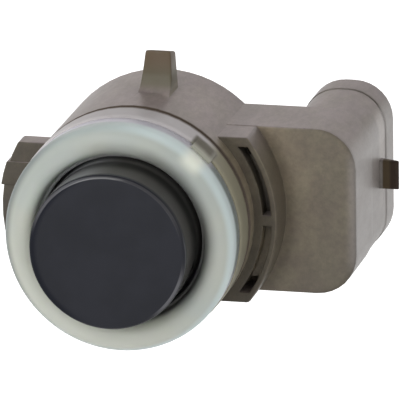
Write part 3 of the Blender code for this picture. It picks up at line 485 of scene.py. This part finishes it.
class Plastic(Finish):
    """Brown-grey moulded plastic: mottled, finely grained, with soft edges, and with painted light
    and shade.
    """

    def __init__(self):
        super().__init__("moulded_plastic_look", PLASTIC_GLOSS)
        self.mottle = self.noise(*MOTTLE, FLOW)
        self.blotch = self.noise(*BLOTCH, FLOW)
        self.speckle = self.noise(*SPECKLE, FLOW)
        self.grain = self.noise(*GRAIN, FLOW)
        self.up = self.spread(self.upwards, *FACING_UP)
        self.ahead = self.spread(self.backwards, *FACING_AHEAD)
        self.on_right = self.spread(self.side, *RIGHT_PART)
        self.on_flank = self.spread(self.side, *FLANK_START)
        self.on_lug = self.spread(self.height, *LUG_START)
        self.on_nose = self.spread(self.side, *NOSE_START)
        self.strip = self.both(self.on_right, (self.depth, STRIP_BACK))
        self.shaded_front = self.both(self.ahead, (self.depth, SHADED_FRONT_BACK))
        colour = self.body()
        for paint in (self.flange, self.flank, self.shade_lug_and_nose, self.lines):
            colour = paint(colour)
        self.set("Base Color", colour)
        self.coat(self.either(self.on_lug, self.on_nose, self.shaded_front), PLASTIC_COAT)
        self.roughen(self.mottle, *PLASTIC_ROUGHNESS)
        self.bump(self.grain, GRAIN_DEPTH, self.soften_edges(self.edge_radius()))

    def body(self):
        """The mottled colour, with a painted highlight on top and painted shade in crevices, on
        the top beside the lug, below, out along the arm and on the ear.
        """
        colour = self.marble(self.mottle, PLASTIC_COLOURS)
        # Upward faces take paler lilac-grey colours as a painted highlight, except on the strip
        # before the flange.
        pale = self.both(self.up, self.invert(self.strip))
        colour = self.mix(pale, colour, self.marble(self.mottle, TOP_LIT_COLOURS))
        colour = self.grade(colour, self.depth, RIM_GRADE)
        # Painted shade on the barrel's top to the right of the lug.
        top_shade = self.both((self.side, TOP_SHADE_LEFT), (self.side, TOP_SHADE_RIGHT), self.up)
        colour = self.scale(colour, top_shade, TOP_SHADE_LEVEL)
        colour = self.shade(colour, self.blotch, BLOTCH_LEVELS)
        colour = self.shade(colour, self.speckle, SPECKLE_LEVELS)
        colour = self.shade(colour, self.grain, GRAIN_LEVELS)
        # Painted shade: corners and gaps narrower than the reach turn dark, except towards the
        # back, on the shroud's side and on the arm's top.
        on_top = self.both(self.up, (self.side, ARM_TOP))
        bare = self.either((self.depth, OPEN_BACK), self.on_flank, on_top)
        clear = self.either(self.crevice(CREVICE_REACH, CREVICE_FADE), bare)
        colour = self.mix(clear, CREVICE_SHADE_COLOUR, colour)
        # Painted shade: darker towards the bottom, out along the arm and on the left ear.
        colour = self.grade(colour, self.height, BODY_LOW_SHADE_GRADE)
        colour = self.grade(colour, self.side, ARM_SHADE_GRADE)
        return self.grade(colour, self.side, EAR_SHADE_GRADE)

    def flange(self, colour):
        """Adds painted light and shade in and round the holding flanges."""
        radius = self.radius()
        # Painted shade: front faces ahead of the flanges' backs are darkened to about half.
        colour = self.mix(self.shaded_front, colour, self.grade(colour, self.side, FRONT_SHADE_GRADE))
        # Painted light and shade inside the slot: lighter low down, darker towards its top.
        in_slot = self.both((self.depth, SLOT_FRONT), (self.depth, SLOT_BACK),
                            (radius, SLOT_OUTSIDE), (radius, SLOT_INSIDE), self.invert(self.up))
        colour = self.mix(in_slot, colour, self.grade(colour, self.height, SLOT_LIGHT_AND_SHADE_GRADE))
        # Painted light on the arm's front by the flange's root, where the flange shades it.
        root = self.both(self.ahead, (self.depth, ROOT_FRONT), (radius, ROOT_REACH))
        colour = self.scale(colour, root, ROOT_LIGHT_LEVEL)
        # Painted light on the right-hand strip of barrel ahead of the flange.
        colour = self.scale(colour, self.strip, STRIP_LIGHT_LEVEL)
        # The flange's outer skin: painted shade on its side and a painted highlight where it faces
        # ahead.
        skin = self.both(self.on_right, (radius, SKIN_INSIDE), (radius, SKIN_OUTSIDE),
                         (self.depth, SKIN_BACK))
        return self.mix(skin, colour, self.grade(colour, self.ahead, SKIN_SHADE_AND_HIGHLIGHT_GRADE))

    def flank(self, colour):
        """Adds the plug shroud's side, painted paler as lit and darker low down as painted shade,
        and the turn into it.
        """
        # The shroud's right side takes a paler colour as painted light.
        pale = self.shade(FLANK_LIT_COLOUR, self.speckle, FLANK_SPECKLE_LEVELS)
        pale = self.shade(pale, self.blotch, FLANK_BLOTCH_LEVELS)
        pale = self.shade(pale, self.grain, FLANK_GRAIN_LEVELS)
        pale = self.grade(pale, self.height, FLANK_LOW_SHADE_GRADE)
        # A painted highlight along the side just before the groove.
        gleam = self.both((self.depth, GLEAM_FRONT), (self.depth, GLEAM_BACK),
                          (self.height, GLEAM_BOTTOM))
        pale = self.scale(pale, gleam, GLEAM_HIGHLIGHT_LEVEL)
        colour = self.mix(self.both((self.rightwards, FACING_RIGHT), self.on_flank), colour, pale)
        # A painted highlight where the arm's front turns into the side.
        turn = self.both(self.ahead, (self.side, TURN_HIGHLIGHT_GRADE),
                         (self.maths("ABSOLUTE", self.height), TURN_HEIGHT))
        return self.mix(turn, colour, pale)

    def shade_lug_and_nose(self, colour):
        """Adds painted shade: the browner lug and its foot, and the dark nose."""
        # Painted shade on the lug's faces and its foot, and on the nose.
        foot = self.mix(self.spread(self.height, *FOOT_FADE), *FOOT_SHADE_COLOURS)
        lug = self.mix(self.spread(self.height, *LUG_FADE), foot, LUG_SHADE_COLOUR)
        colour = self.mix(self.on_lug, colour, lug)
        nose = self.mix(self.spread(self.side, *NOSE_FADE), *NOSE_SHADE_COLOURS)
        return self.mix(self.on_nose, colour, nose)

    def lines(self, colour):
        """Adds the groove round the shroud, painted pale on the side and dark elsewhere, and
        painted shade along the seam behind the collar.
        """
        groove = self.both((self.depth, GROOVE_FRONT), (self.depth, GROOVE_BACK))
        # The groove is painted pale on the shroud's side as painted light, and dark elsewhere as
        # painted shade.
        colour = self.mix(groove, colour, self.mix(self.on_flank, *GROOVE_SHADE_AND_LIGHT_COLOURS))
        return self.mix(self.spread(self.depth, *HOUSING_SEAM), SEAM_SHADE_COLOUR, colour)

    def edge_radius(self):
        """How far edges are rounded: more along the arm's front than elsewhere."""
        on_arm = self.both((self.side, ARM_FRONT_SIDE), (self.depth, ARM_FRONT_BACK))
        return self.total((self.side, EDGE_GRADE), (on_arm, ARM_FRONT_EDGE))


# Collar, with a painted lilac reflection on its left, a painted highlight at its front and painted
# highlights on its key
COLLAR_GLOSS = {"IOR": 1.5, "Coat Roughness": 0.36}
COLLAR_MOTTLE = (0.0018, 3.0, 0.6)
COLLAR_BROWNS = ((0.190, 0.176, 0.120), (0.210, 0.194, 0.133))
COLLAR_LILAC_REFLECTIONS = ((0.302, 0.282, 0.284), (0.334, 0.317, 0.321))
COLLAR_LILAC_LIGHT_GRADE = (-0.0085, 0.0, 1.36, 1.03)
COLLAR_LILAC_END = (0.0088, 0.0071)
COLLAR_FRONT_HIGHLIGHT_GRADE = (0.0088, 0.0078, 1.0, 1.30)
COLLAR_SEAM = (SEAM_FRONT - 0.00020, SEAM_FRONT - 0.00060)
COLLAR_COAT = (0.42, 0.05)
COLLAR_ROUGHNESS = (0.56, 0.66)
COLLAR_GRAIN_DEPTH = 0.000010
COLLAR_EDGE = 0.00015
KEY_WIDTH = (0.0016, 0.0012)
KEY_SIDE = (-0.0007, -0.0012)
KEY_OLIVE_AND_HIGHLIGHT_COLOURS = ((0.085, 0.077, 0.052), (0.19, 0.18, 0.15))
KEY_FRONT = (0.0068, 0.0084)
KEY_FRONT_HIGHLIGHT_COLOUR = (0.34, 0.34, 0.28)
KEY_BACK = (0.0104, 0.0096)


def collar_finish():
    """The collar: brown plastic on the right, a lilac painted reflection on the left, and the key.
    """
    look = Finish("collar_look", COLLAR_GLOSS)
    mottle = look.noise(*COLLAR_MOTTLE)
    brown = look.marble(mottle, COLLAR_BROWNS)
    # Lilac colours on the left stand for a painted reflection, paler further left as painted
    # light.
    lilac = look.grade(look.marble(mottle, COLLAR_LILAC_REFLECTIONS), look.side, COLLAR_LILAC_LIGHT_GRADE)
    colour = look.mix(look.spread(look.side, *COLLAR_LILAC_END), brown, lilac)
    # A painted highlight towards the collar's front.
    colour = look.grade(colour, look.depth, COLLAR_FRONT_HIGHLIGHT_GRADE)
    # The key: dark olive with a painted highlight on its right rim, and a cream painted highlight
    # at its front.
    key = look.mix(look.spread(look.across_key(), *KEY_SIDE), *KEY_OLIVE_AND_HIGHLIGHT_COLOURS)
    key = look.mix(look.spread(look.depth, *KEY_FRONT), KEY_FRONT_HIGHLIGHT_COLOUR, key)
    on_key = look.both(look.key_zone(KEY_WIDTH), (look.depth, KEY_BACK))
    colour = look.mix(on_key, colour, key)
    # Painted shade along the seam's gap.
    colour = look.mix(look.spread(look.depth, *COLLAR_SEAM), SEAM_SHADE_COLOUR, colour)
    look.set("Base Color", colour)
    look.coat(on_key, COLLAR_COAT)
    look.roughen(mottle, *COLLAR_ROUGHNESS)
    look.bump(look.noise(*GRAIN), COLLAR_GRAIN_DEPTH, look.soften_edges(COLLAR_EDGE))
    return look.material


# Silicone ring: its body, its outer edge, the roll's inner side, the skirt and the mouth, with
# painted light and shade, and a painted highlight by the key
SILICONE_GLOSS = {
    "Subsurface Weight": 1.0,
    "Subsurface Radius": (1.0, 1.1, 0.95),
    "Subsurface Scale": 0.0040,
    "IOR": 1.41,
    "Specular IOR Level": 0.3,
}
RING_CLOUD = (0.0085, 2.0, 0.5)
RING_CLOUD_FADE = (0.38, 0.62)
RING_COLOURS = ((0.456, 0.484, 0.460), (0.493, 0.504, 0.456))
RING_RIGHT_SHADE_GRADE = (0.0, 0.0080, 1.0, 0.94)
RING_EDGE_START = (0.0107, 0.01125)
RING_EDGE_FADE = (-0.2, 0.3)
RING_EDGE_COLOURS = ((0.42, 0.47, 0.46), (0.555, 0.63, 0.63))
ROLL_START = (0.0084, 0.0089)
ROLL_END = (0.0103, 0.0089)
ROLL_LIT_HEIGHT = (-0.0060, 0.0060)
ROLL_LIT_SIDE = (0.0, -0.0060)
ROLL_LIT_GRADE = (*WHOLE, 1.0, 1.45)
ROLL_UNLIT_HEIGHT = (-0.0060, 0.0040)
ROLL_UNLIT_SIDE = (0.0, 0.0055)
ROLL_UNLIT_GRADE = (*WHOLE, 1.0, 0.55)
RING_TOP_SHADE_GRADE = (-0.0090, 0.0100, 0.96, 0.82)
RING_LEFT_SHADE_GRADE = (-0.30, -0.85, 1.0, 0.50)
SKIRT_START = (0.0058, 0.0066)
SKIRT_COLOUR = (0.53, 0.52, 0.57)
SKIRT_LIGHT_GRADE = (-0.0060, 0.0060, 1.10, 0.62)
SKIRT_SHADE_RIGHT = (0.74, 0.80)
SKIRT_SHADE_UP = (-0.45, -0.15)
SKIRT_SHADE_COLOUR = (0.16, 0.18, 0.17)
RING_HIGHLIGHT_WIDTH = (0.0017, 0.0003)
RING_HIGHLIGHT_RADIUS = (0.0100, 0.0111)
RING_HIGHLIGHT_BACK = (0.0074, 0.0066)
RING_HIGHLIGHT_COLOUR = (0.62, 0.64, 0.56)
MOUTH_END = (0.00825, 0.0088)
MOUTH_LEFT_SHADE_GRADE = (-0.75, 0.0, 0.50, 1.0)
MOUTH_RIGHT_SHADE_GRADE = (0.2, 0.7, 1.0, 0.60)
MOUTH_LOW_SHADE_GRADE = (-0.0010, -0.0045, 1.0, 0.40)
RING_ROUGHNESS_NOISE = (0.0005, 3.0, 0.5)
RING_ROUGHNESS = (0.36, 0.46)
RING_BUMP_NOISE = (0.0012, 2.0, 0.5)
RING_BUMP_DEPTH = 0.000012


def silicone_finish():
    """Milky silicone: grey-green, cooler and bluer towards the outer edge, faintly cloudy, with
    painted light and shade and a painted highlight by the key.
    """
    look = Finish("milky_silicone_look", SILICONE_GLOSS)
    radius = look.radius()
    body = look.marble(look.noise(*RING_CLOUD), RING_COLOURS, RING_CLOUD_FADE)
    # Painted shade: slightly darker to the right.
    body = look.grade(body, look.side, RING_RIGHT_SHADE_GRADE)
    # The outer edge is a cooler, bluer tint, painted paler where it faces right as painted light
    # and darker where it faces left as painted shade.
    edge = look.mix(look.spread(look.rightwards, *RING_EDGE_FADE), *RING_EDGE_COLOURS)
    colour = look.mix(look.spread(radius, *RING_EDGE_START), body, edge)
    lit = look.both((look.height, ROLL_LIT_HEIGHT), (look.side, ROLL_LIT_SIDE))
    unlit = look.both((look.height, ROLL_UNLIT_HEIGHT), (look.side, ROLL_UNLIT_SIDE))
    roll = look.dim(colour, look.both((lit, ROLL_LIT_GRADE), (unlit, ROLL_UNLIT_GRADE)))
    colour = look.mix(look.both((radius, ROLL_START), (radius, ROLL_END)), colour, roll)
    # Painted shade: darker towards the top and where the ring faces left.
    colour = look.grade(colour, look.height, RING_TOP_SHADE_GRADE)
    colour = look.grade(colour, look.rightwards, RING_LEFT_SHADE_GRADE)
    # The skirt: a lilac tint painted lighter on the left and darker to the right, with a painted
    # shadow where it faces right.
    shade = look.both((look.rightwards, SKIRT_SHADE_RIGHT), (look.upwards, SKIRT_SHADE_UP))
    skirt = look.grade(SKIRT_COLOUR, look.side, SKIRT_LIGHT_GRADE)
    skirt = look.mix(shade, skirt, SKIRT_SHADE_COLOUR)
    colour = look.mix(look.spread(look.depth, *SKIRT_START), colour, skirt)
    # A cream painted highlight on the lip's outer part beside the key.
    painted_highlight = look.both(look.key_zone(RING_HIGHLIGHT_WIDTH), (radius, RING_HIGHLIGHT_RADIUS), (look.depth, RING_HIGHLIGHT_BACK))
    colour = look.mix(painted_highlight, colour, RING_HIGHLIGHT_COLOUR)
    # Painted shade on the ring's inner side at the mouth, darker at both sides and low down.
    mouth_shade = look.both((look.rightwards, MOUTH_LEFT_SHADE_GRADE), (look.rightwards, MOUTH_RIGHT_SHADE_GRADE),
                     (look.height, MOUTH_LOW_SHADE_GRADE))
    colour = look.mix(look.spread(radius, *MOUTH_END), look.dim(colour, mouth_shade), colour)
    look.set("Base Color", colour)
    look.roughen(look.noise(*RING_ROUGHNESS_NOISE), *RING_ROUGHNESS)
    look.bump(look.noise(*RING_BUMP_NOISE), RING_BUMP_DEPTH)
    return look.material


# Black paint: the face, the cup's wall in painted light and shade, a painted highlight on its edge
# and the coat's dull rim
PAINT_GLOSS = {"IOR": 1.45, "Specular IOR Level": 0.05, "Coat Roughness": 0.10}
PAINT_CLOUD = (0.004, 3.0, 0.5)
PAINT_COLOURS = ((0.0065, 0.0075, 0.0125), (0.009, 0.010, 0.016))
WALL_START = (0.0076, 0.0077)
WALL_FRONT = (0.0004, 0.0009)
WALL_FADE = (0.1, -0.45)
WALL_LIGHT_AND_SHADE_COLOURS = ((0.055, 0.053, 0.050), (0.170, 0.172, 0.178))
WALL_SHADE_GRADE = (0.0022, 0.0044, 1.0, 0.22)
WALL_DEEP_LIGHT_GRADE = (0.0044, 0.0054, 0.0, 1.8)
EDGE_FACE_SIDE = (-0.999, -0.98)
EDGE_WALL_SIDE = (-0.50, -0.72)
EDGE_TOP = (0.0010, 0.0045)
EDGE_RIGHT = (0.0035, 0.0060)
EDGE_LOW = (0.0, -0.0030)
EDGE_HIGHLIGHT_COLOUR = (0.11, 0.11, 0.12)
EDGE_SIDE_GRADE = (-0.0035, -0.0005, 0.85, 0.40)
EDGE_LOW_GRADE = (*WHOLE, 0.0, 0.50)
DULL_RADIUS = (0.0067, 0.0075)
DULL_SIDE = (0.0, -0.0060)
DULL_BACK = (0.0004, 0.0002)
PAINT_COAT = (0.60, 0.18)
PAINT_ROUGHNESS = (0.36, 0.44)
PAINT_BUMP_NOISE = (0.0003, 2.0, 0.5)
PAINT_BUMP_DEPTH = 0.000006


def paint_finish():
    """Satin bluish-black paint with a fine orange-peel skin, painted light and shade on the cup's
    wall and a painted highlight on its edge.
    """
    look = Finish("black_paint_look", PAINT_GLOSS)
    radius = look.radius()
    cloud = look.noise(*PAINT_CLOUD)
    colour = look.marble(cloud, PAINT_COLOURS)
    # The wall is painted paler where it faces left as painted light, darker deeper in as painted
    # shade, and lighter again at the back of the gap as painted light.
    wall = look.mix(look.spread(look.rightwards, *WALL_FADE), *WALL_LIGHT_AND_SHADE_COLOURS)
    colour = look.mix(look.both((radius, WALL_START), (look.depth, WALL_FRONT)), colour, wall)
    colour = look.dim(colour, look.total((look.depth, WALL_SHADE_GRADE),
                                         (look.depth, WALL_DEEP_LIGHT_GRADE)))
    # A painted highlight on the face's rounded edge, along the top and at the lower right.
    low_right = look.both((look.side, EDGE_RIGHT), (look.height, EDGE_LOW))
    edge = look.both((look.backwards, EDGE_FACE_SIDE), (look.backwards, EDGE_WALL_SIDE),
                     look.either(low_right, (look.height, EDGE_TOP)))
    gleam = look.dim(EDGE_HIGHLIGHT_COLOUR, look.total((look.side, EDGE_SIDE_GRADE),
                                             (low_right, EDGE_LOW_GRADE)))
    look.set("Base Color", look.mix(edge, colour, gleam))
    look.coat(look.both((radius, DULL_RADIUS), (look.side, DULL_SIDE), (look.depth, DULL_BACK)),
              PAINT_COAT)
    look.roughen(cloud, *PAINT_ROUGHNESS)
    look.bump(look.noise(*PAINT_BUMP_NOISE), PAINT_BUMP_DEPTH)
    return look.material


# Inner pieces: the skin they share, and (nodes, colour, roughness, metallic share)
SPECK_COARSE = (0.0012, 3.0, 0.6)
SPECK_COARSE_LEVELS = (0.85, 1.1)
SPECK_FINE = (0.0002, 2.0, 0.6)
SPECK_FINE_LEVELS = (0.9, 1.08)
SPECK_ROUGHNESS = 0.06
SPECK_DEPTH = 0.00002
INNER_PIECES = (
    (("piezo_disc",), (0.55, 0.48, 0.36), 0.60, 0.0),
    (("damping_pad",), (0.24, 0.23, 0.21), 0.95, 0.0),
    (("silicone_plug", "rear_isolator"), (0.30, 0.31, 0.32), 0.55, 0.0),
    (("contact_wire_1", "contact_wire_2"), (0.45, 0.04, 0.03), 0.45, 0.0),
    (("contact_carrier",), (0.05, 0.05, 0.05), 0.50, 0.0),
    (("contact_pin_1", "contact_pin_2", "terminal_pin_1", "terminal_pin_2", "terminal_pin_3"),
     (0.72, 0.70, 0.64), 0.30, 1.0),
    (("circuit_board",), (0.02, 0.16, 0.06), 0.45, 0.0),
    (("transformer_core",), (0.06, 0.06, 0.065), 0.65, 0.0),
    (("transformer_winding",), (0.55, 0.20, 0.08), 0.35, 1.0),
    (("control_chip",), (0.02, 0.02, 0.022), 0.50, 0.0),
    (("capacitor_1", "capacitor_2"), (0.34, 0.24, 0.15), 0.50, 0.0),
    (("resistor_1", "resistor_2"), (0.04, 0.04, 0.045), 0.50, 0.0),
)


def inner_finish(name, colour, roughness, metallic):
    """A plain material with lighter and darker specks and a fine skin."""
    look = Finish(name, {"Metallic": metallic})
    coarse = look.noise(*SPECK_COARSE)
    fine = look.noise(*SPECK_FINE)
    colour = look.shade(colour, coarse, SPECK_COARSE_LEVELS)
    look.set("Base Color", look.shade(colour, fine, SPECK_FINE_LEVELS))
    look.roughen(coarse, roughness - SPECK_ROUGHNESS, roughness + SPECK_ROUGHNESS)
    look.bump(fine, SPECK_DEPTH)
    return look.material


def dress(node, material):
    """Gives a CAD node its finish, with welded and smooth-shaded faces."""
    obj = NODES[node]
    obj.data.materials.clear()
    obj.data.materials.append(material)
    obj.data.shade_smooth()
    weld = obj.modifiers.new("weld", "WELD")
    weld.merge_threshold = WELD_DISTANCE
    split = obj.modifiers.new("sharp", "EDGE_SPLIT")
    split.split_angle = SHARP_ANGLE
    even = obj.modifiers.new("even_shading", "WEIGHTED_NORMAL")
    even.mode = "FACE_AREA_WITH_ANGLE"
    even.weight = AREA_WEIGHT


def piece(obj, node, material):
    """A finer piece that stands for a CAD node."""
    obj.data.materials.append(material)
    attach(obj, "root")
    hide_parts(node)


def make_cup(material):
    """The cup: face, rounded edge, straight side, flange, bore and floor."""
    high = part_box("transducer_cup")[1]
    bore = CUP_RADIUS - CUP_WALL
    profile = [
        (0, 0),
        (CUP_FACE_RING, 0),
        *arc((CUP_RADIUS - CUP_EDGE, CUP_EDGE), CUP_EDGE, -90, 0),
        (CUP_RADIUS, high.y - CUP_SIDE_RING),
        (CUP_RADIUS, high.y - CUP_CONE),
        (high.x, high.y - CUP_FLANGE),
        (high.x, high.y),
        (bore, high.y),
        (bore, CUP_FLOOR + CUP_EDGE),
        (bore - CUP_EDGE, CUP_FLOOR),
        (0, CUP_FLOOR),
    ]
    skin = turned("cup_skin", profile, closed=False)
    piece(skin, "transducer_cup", material)


def make_ring(material):
    """The ring: rolled lip, skirt, neck, relieved bore and the shelf round the cup."""
    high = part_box("decoupling_ring")[1]
    lip = high.x - LIP_RADIUS
    profile = [
        *arc((lip, RING_SIDE_START), LIP_RADIUS, -180, 0, LIP_STEPS),
        *arc((high.x - RING_EDGE, RING_SKIRT_BACK - RING_EDGE), RING_EDGE, 0, 90,
             RING_EDGE_STEPS),
        (NECK_RADIUS, RING_SKIRT_BACK),
        (NECK_RADIUS, high.y),
        (RELIEF_RADIUS, high.y),
        (RELIEF_RADIUS, high.y - RELIEF_DEPTH),
        (BORE_RADIUS, high.y - RELIEF_CONE),
        (BORE_RADIUS, SHELF_DEPTH + SHELF_EDGE),
        (BORE_RADIUS + SHELF_EDGE, SHELF_DEPTH),
        (lip - LIP_RADIUS, SHELF_DEPTH),
    ]
    piece(turned("ring_skin", profile), "decoupling_ring", material)


def set_world():
    """White for what the camera sees, white behind for reflections, softer light all round."""
    world = bpy.data.worlds.new("studio")
    bpy.context.scene.world = world
    world.use_nodes = True
    world.node_tree.nodes.clear()
    sky = Nodes(world.node_tree)
    right, back, up = sky.split(sky.node("ShaderNodeTexCoord").outputs["Generated"])
    path = sky.node("ShaderNodeLightPath").outputs
    ambient = sky.background(AMBIENT_COLOUR, sky.both((right, AMBIENT_RIGHT), (up, AMBIENT_TOP)))
    reflected = sky.background(REFLECTED_COLOUR, sky.either((back, REFLECTED_BACK),
                                                            (right, REFLECTED_RIGHT)))
    glossy = sky.either(path["Is Glossy Ray"], path["Is Transmission Ray"])
    light = sky.mix_shaders(glossy, ambient, reflected)
    shown = sky.mix_shaders(path["Is Camera Ray"], light, sky.background(WHITE, 1.0))
    sky.feed(sky.node("ShaderNodeOutputWorld").inputs["Surface"], shown)


def make_floor():
    """A pale floor that shows white to the camera, and behind the part in reflections."""
    height = CAD_BOX[0][2] - FLOOR_DROP
    half = FLOOR_SIZE / 2
    mesh = bpy.data.meshes.new("floor")
    corners = [(-half, -half), (half, -half), (half, half), (-half, half)]
    mesh.from_pydata([(x, y, height) for x, y in corners], [], [(0, 1, 2, 3)])
    floor = add_object("floor", mesh)
    look = Finish("floor_look", {"Base Color": FLOOR_COLOUR, "Emission Color": WHITE})
    look.roughen(look.noise(*FLOOR_NOISE), *FLOOR_ROUGHNESS)
    path = look.node("ShaderNodeLightPath").outputs
    reflected = look.both(path["Is Glossy Ray"], (look.depth, FLOOR_BEHIND))
    shown = look.either(path["Is Camera Ray"], reflected)
    look.set("Emission Strength", look.maths("MULTIPLY", shown, FLOOR_GLOW))
    mesh.materials.append(look.material)


def place_camera():
    """The photograph's view: its direction, roll, distance and the pixel the face centre is at."""
    look = Vector((
        -math.sin(CAMERA_AZIMUTH) * math.cos(CAMERA_DROP),
        math.cos(CAMERA_AZIMUTH) * math.cos(CAMERA_DROP),
        -math.sin(CAMERA_DROP),
    ))
    level = Vector((math.cos(CAMERA_AZIMUTH), math.sin(CAMERA_AZIMUTH), 0))
    upright = level.cross(look)
    right = math.cos(CAMERA_ROLL) * level + math.sin(CAMERA_ROLL) * upright
    up = math.cos(CAMERA_ROLL) * upright - math.sin(CAMERA_ROLL) * level
    face_distance = CAMERA_DISTANCE - AIM_POINT.dot(look)
    across = (FACE_PIXEL[0] - IMAGE_SIZE / 2) / FACE_SCALE
    along = (IMAGE_SIZE / 2 - FACE_PIXEL[1]) / FACE_SCALE
    eye = -across * right - along * up - face_distance * look
    data = bpy.data.cameras.new("camera")
    data.sensor_width = SENSOR_WIDTH
    data.lens = SENSOR_WIDTH * FACE_SCALE * face_distance / IMAGE_SIZE
    data.clip_end = CLIP_END
    camera = add_object("camera", data)
    camera.matrix_world = Matrix((
        (right.x, up.x, -look.x, eye.x),
        (right.y, up.y, -look.y, eye.y),
        (right.z, up.z, -look.z, eye.z),
        (0, 0, 0, 1),
    ))
    bpy.context.scene.camera = camera


def add_light(name, place, size, level):
    """A soft square lamp that lights the sensor at this level."""
    aim = LIGHT_TARGET - place
    lamp = bpy.data.lights.new(name, "AREA")
    lamp.shape = "SQUARE"
    lamp.size = size
    lamp.energy = level * math.pi**2 * aim.length**2
    obj = add_object(name, lamp)
    obj.location = place
    obj.rotation_euler = aim.normalized().to_track_quat("-Z", "Y").to_euler()


set_world()
make_floor()
place_camera()
for lamp_name, settings in LAMPS.items():
    add_light(lamp_name, *settings)

plastic = Plastic().material
dress("housing", plastic)
dress("rear_cover", plastic)
dress("front_collar", collar_finish())
make_cup(paint_finish())
make_ring(silicone_finish())
for nodes, *settings in INNER_PIECES:
    for node in nodes:
        dress(node, inner_finish(node + "_look", *settings))

bpy.context.scene.view_settings.view_transform = "Standard"
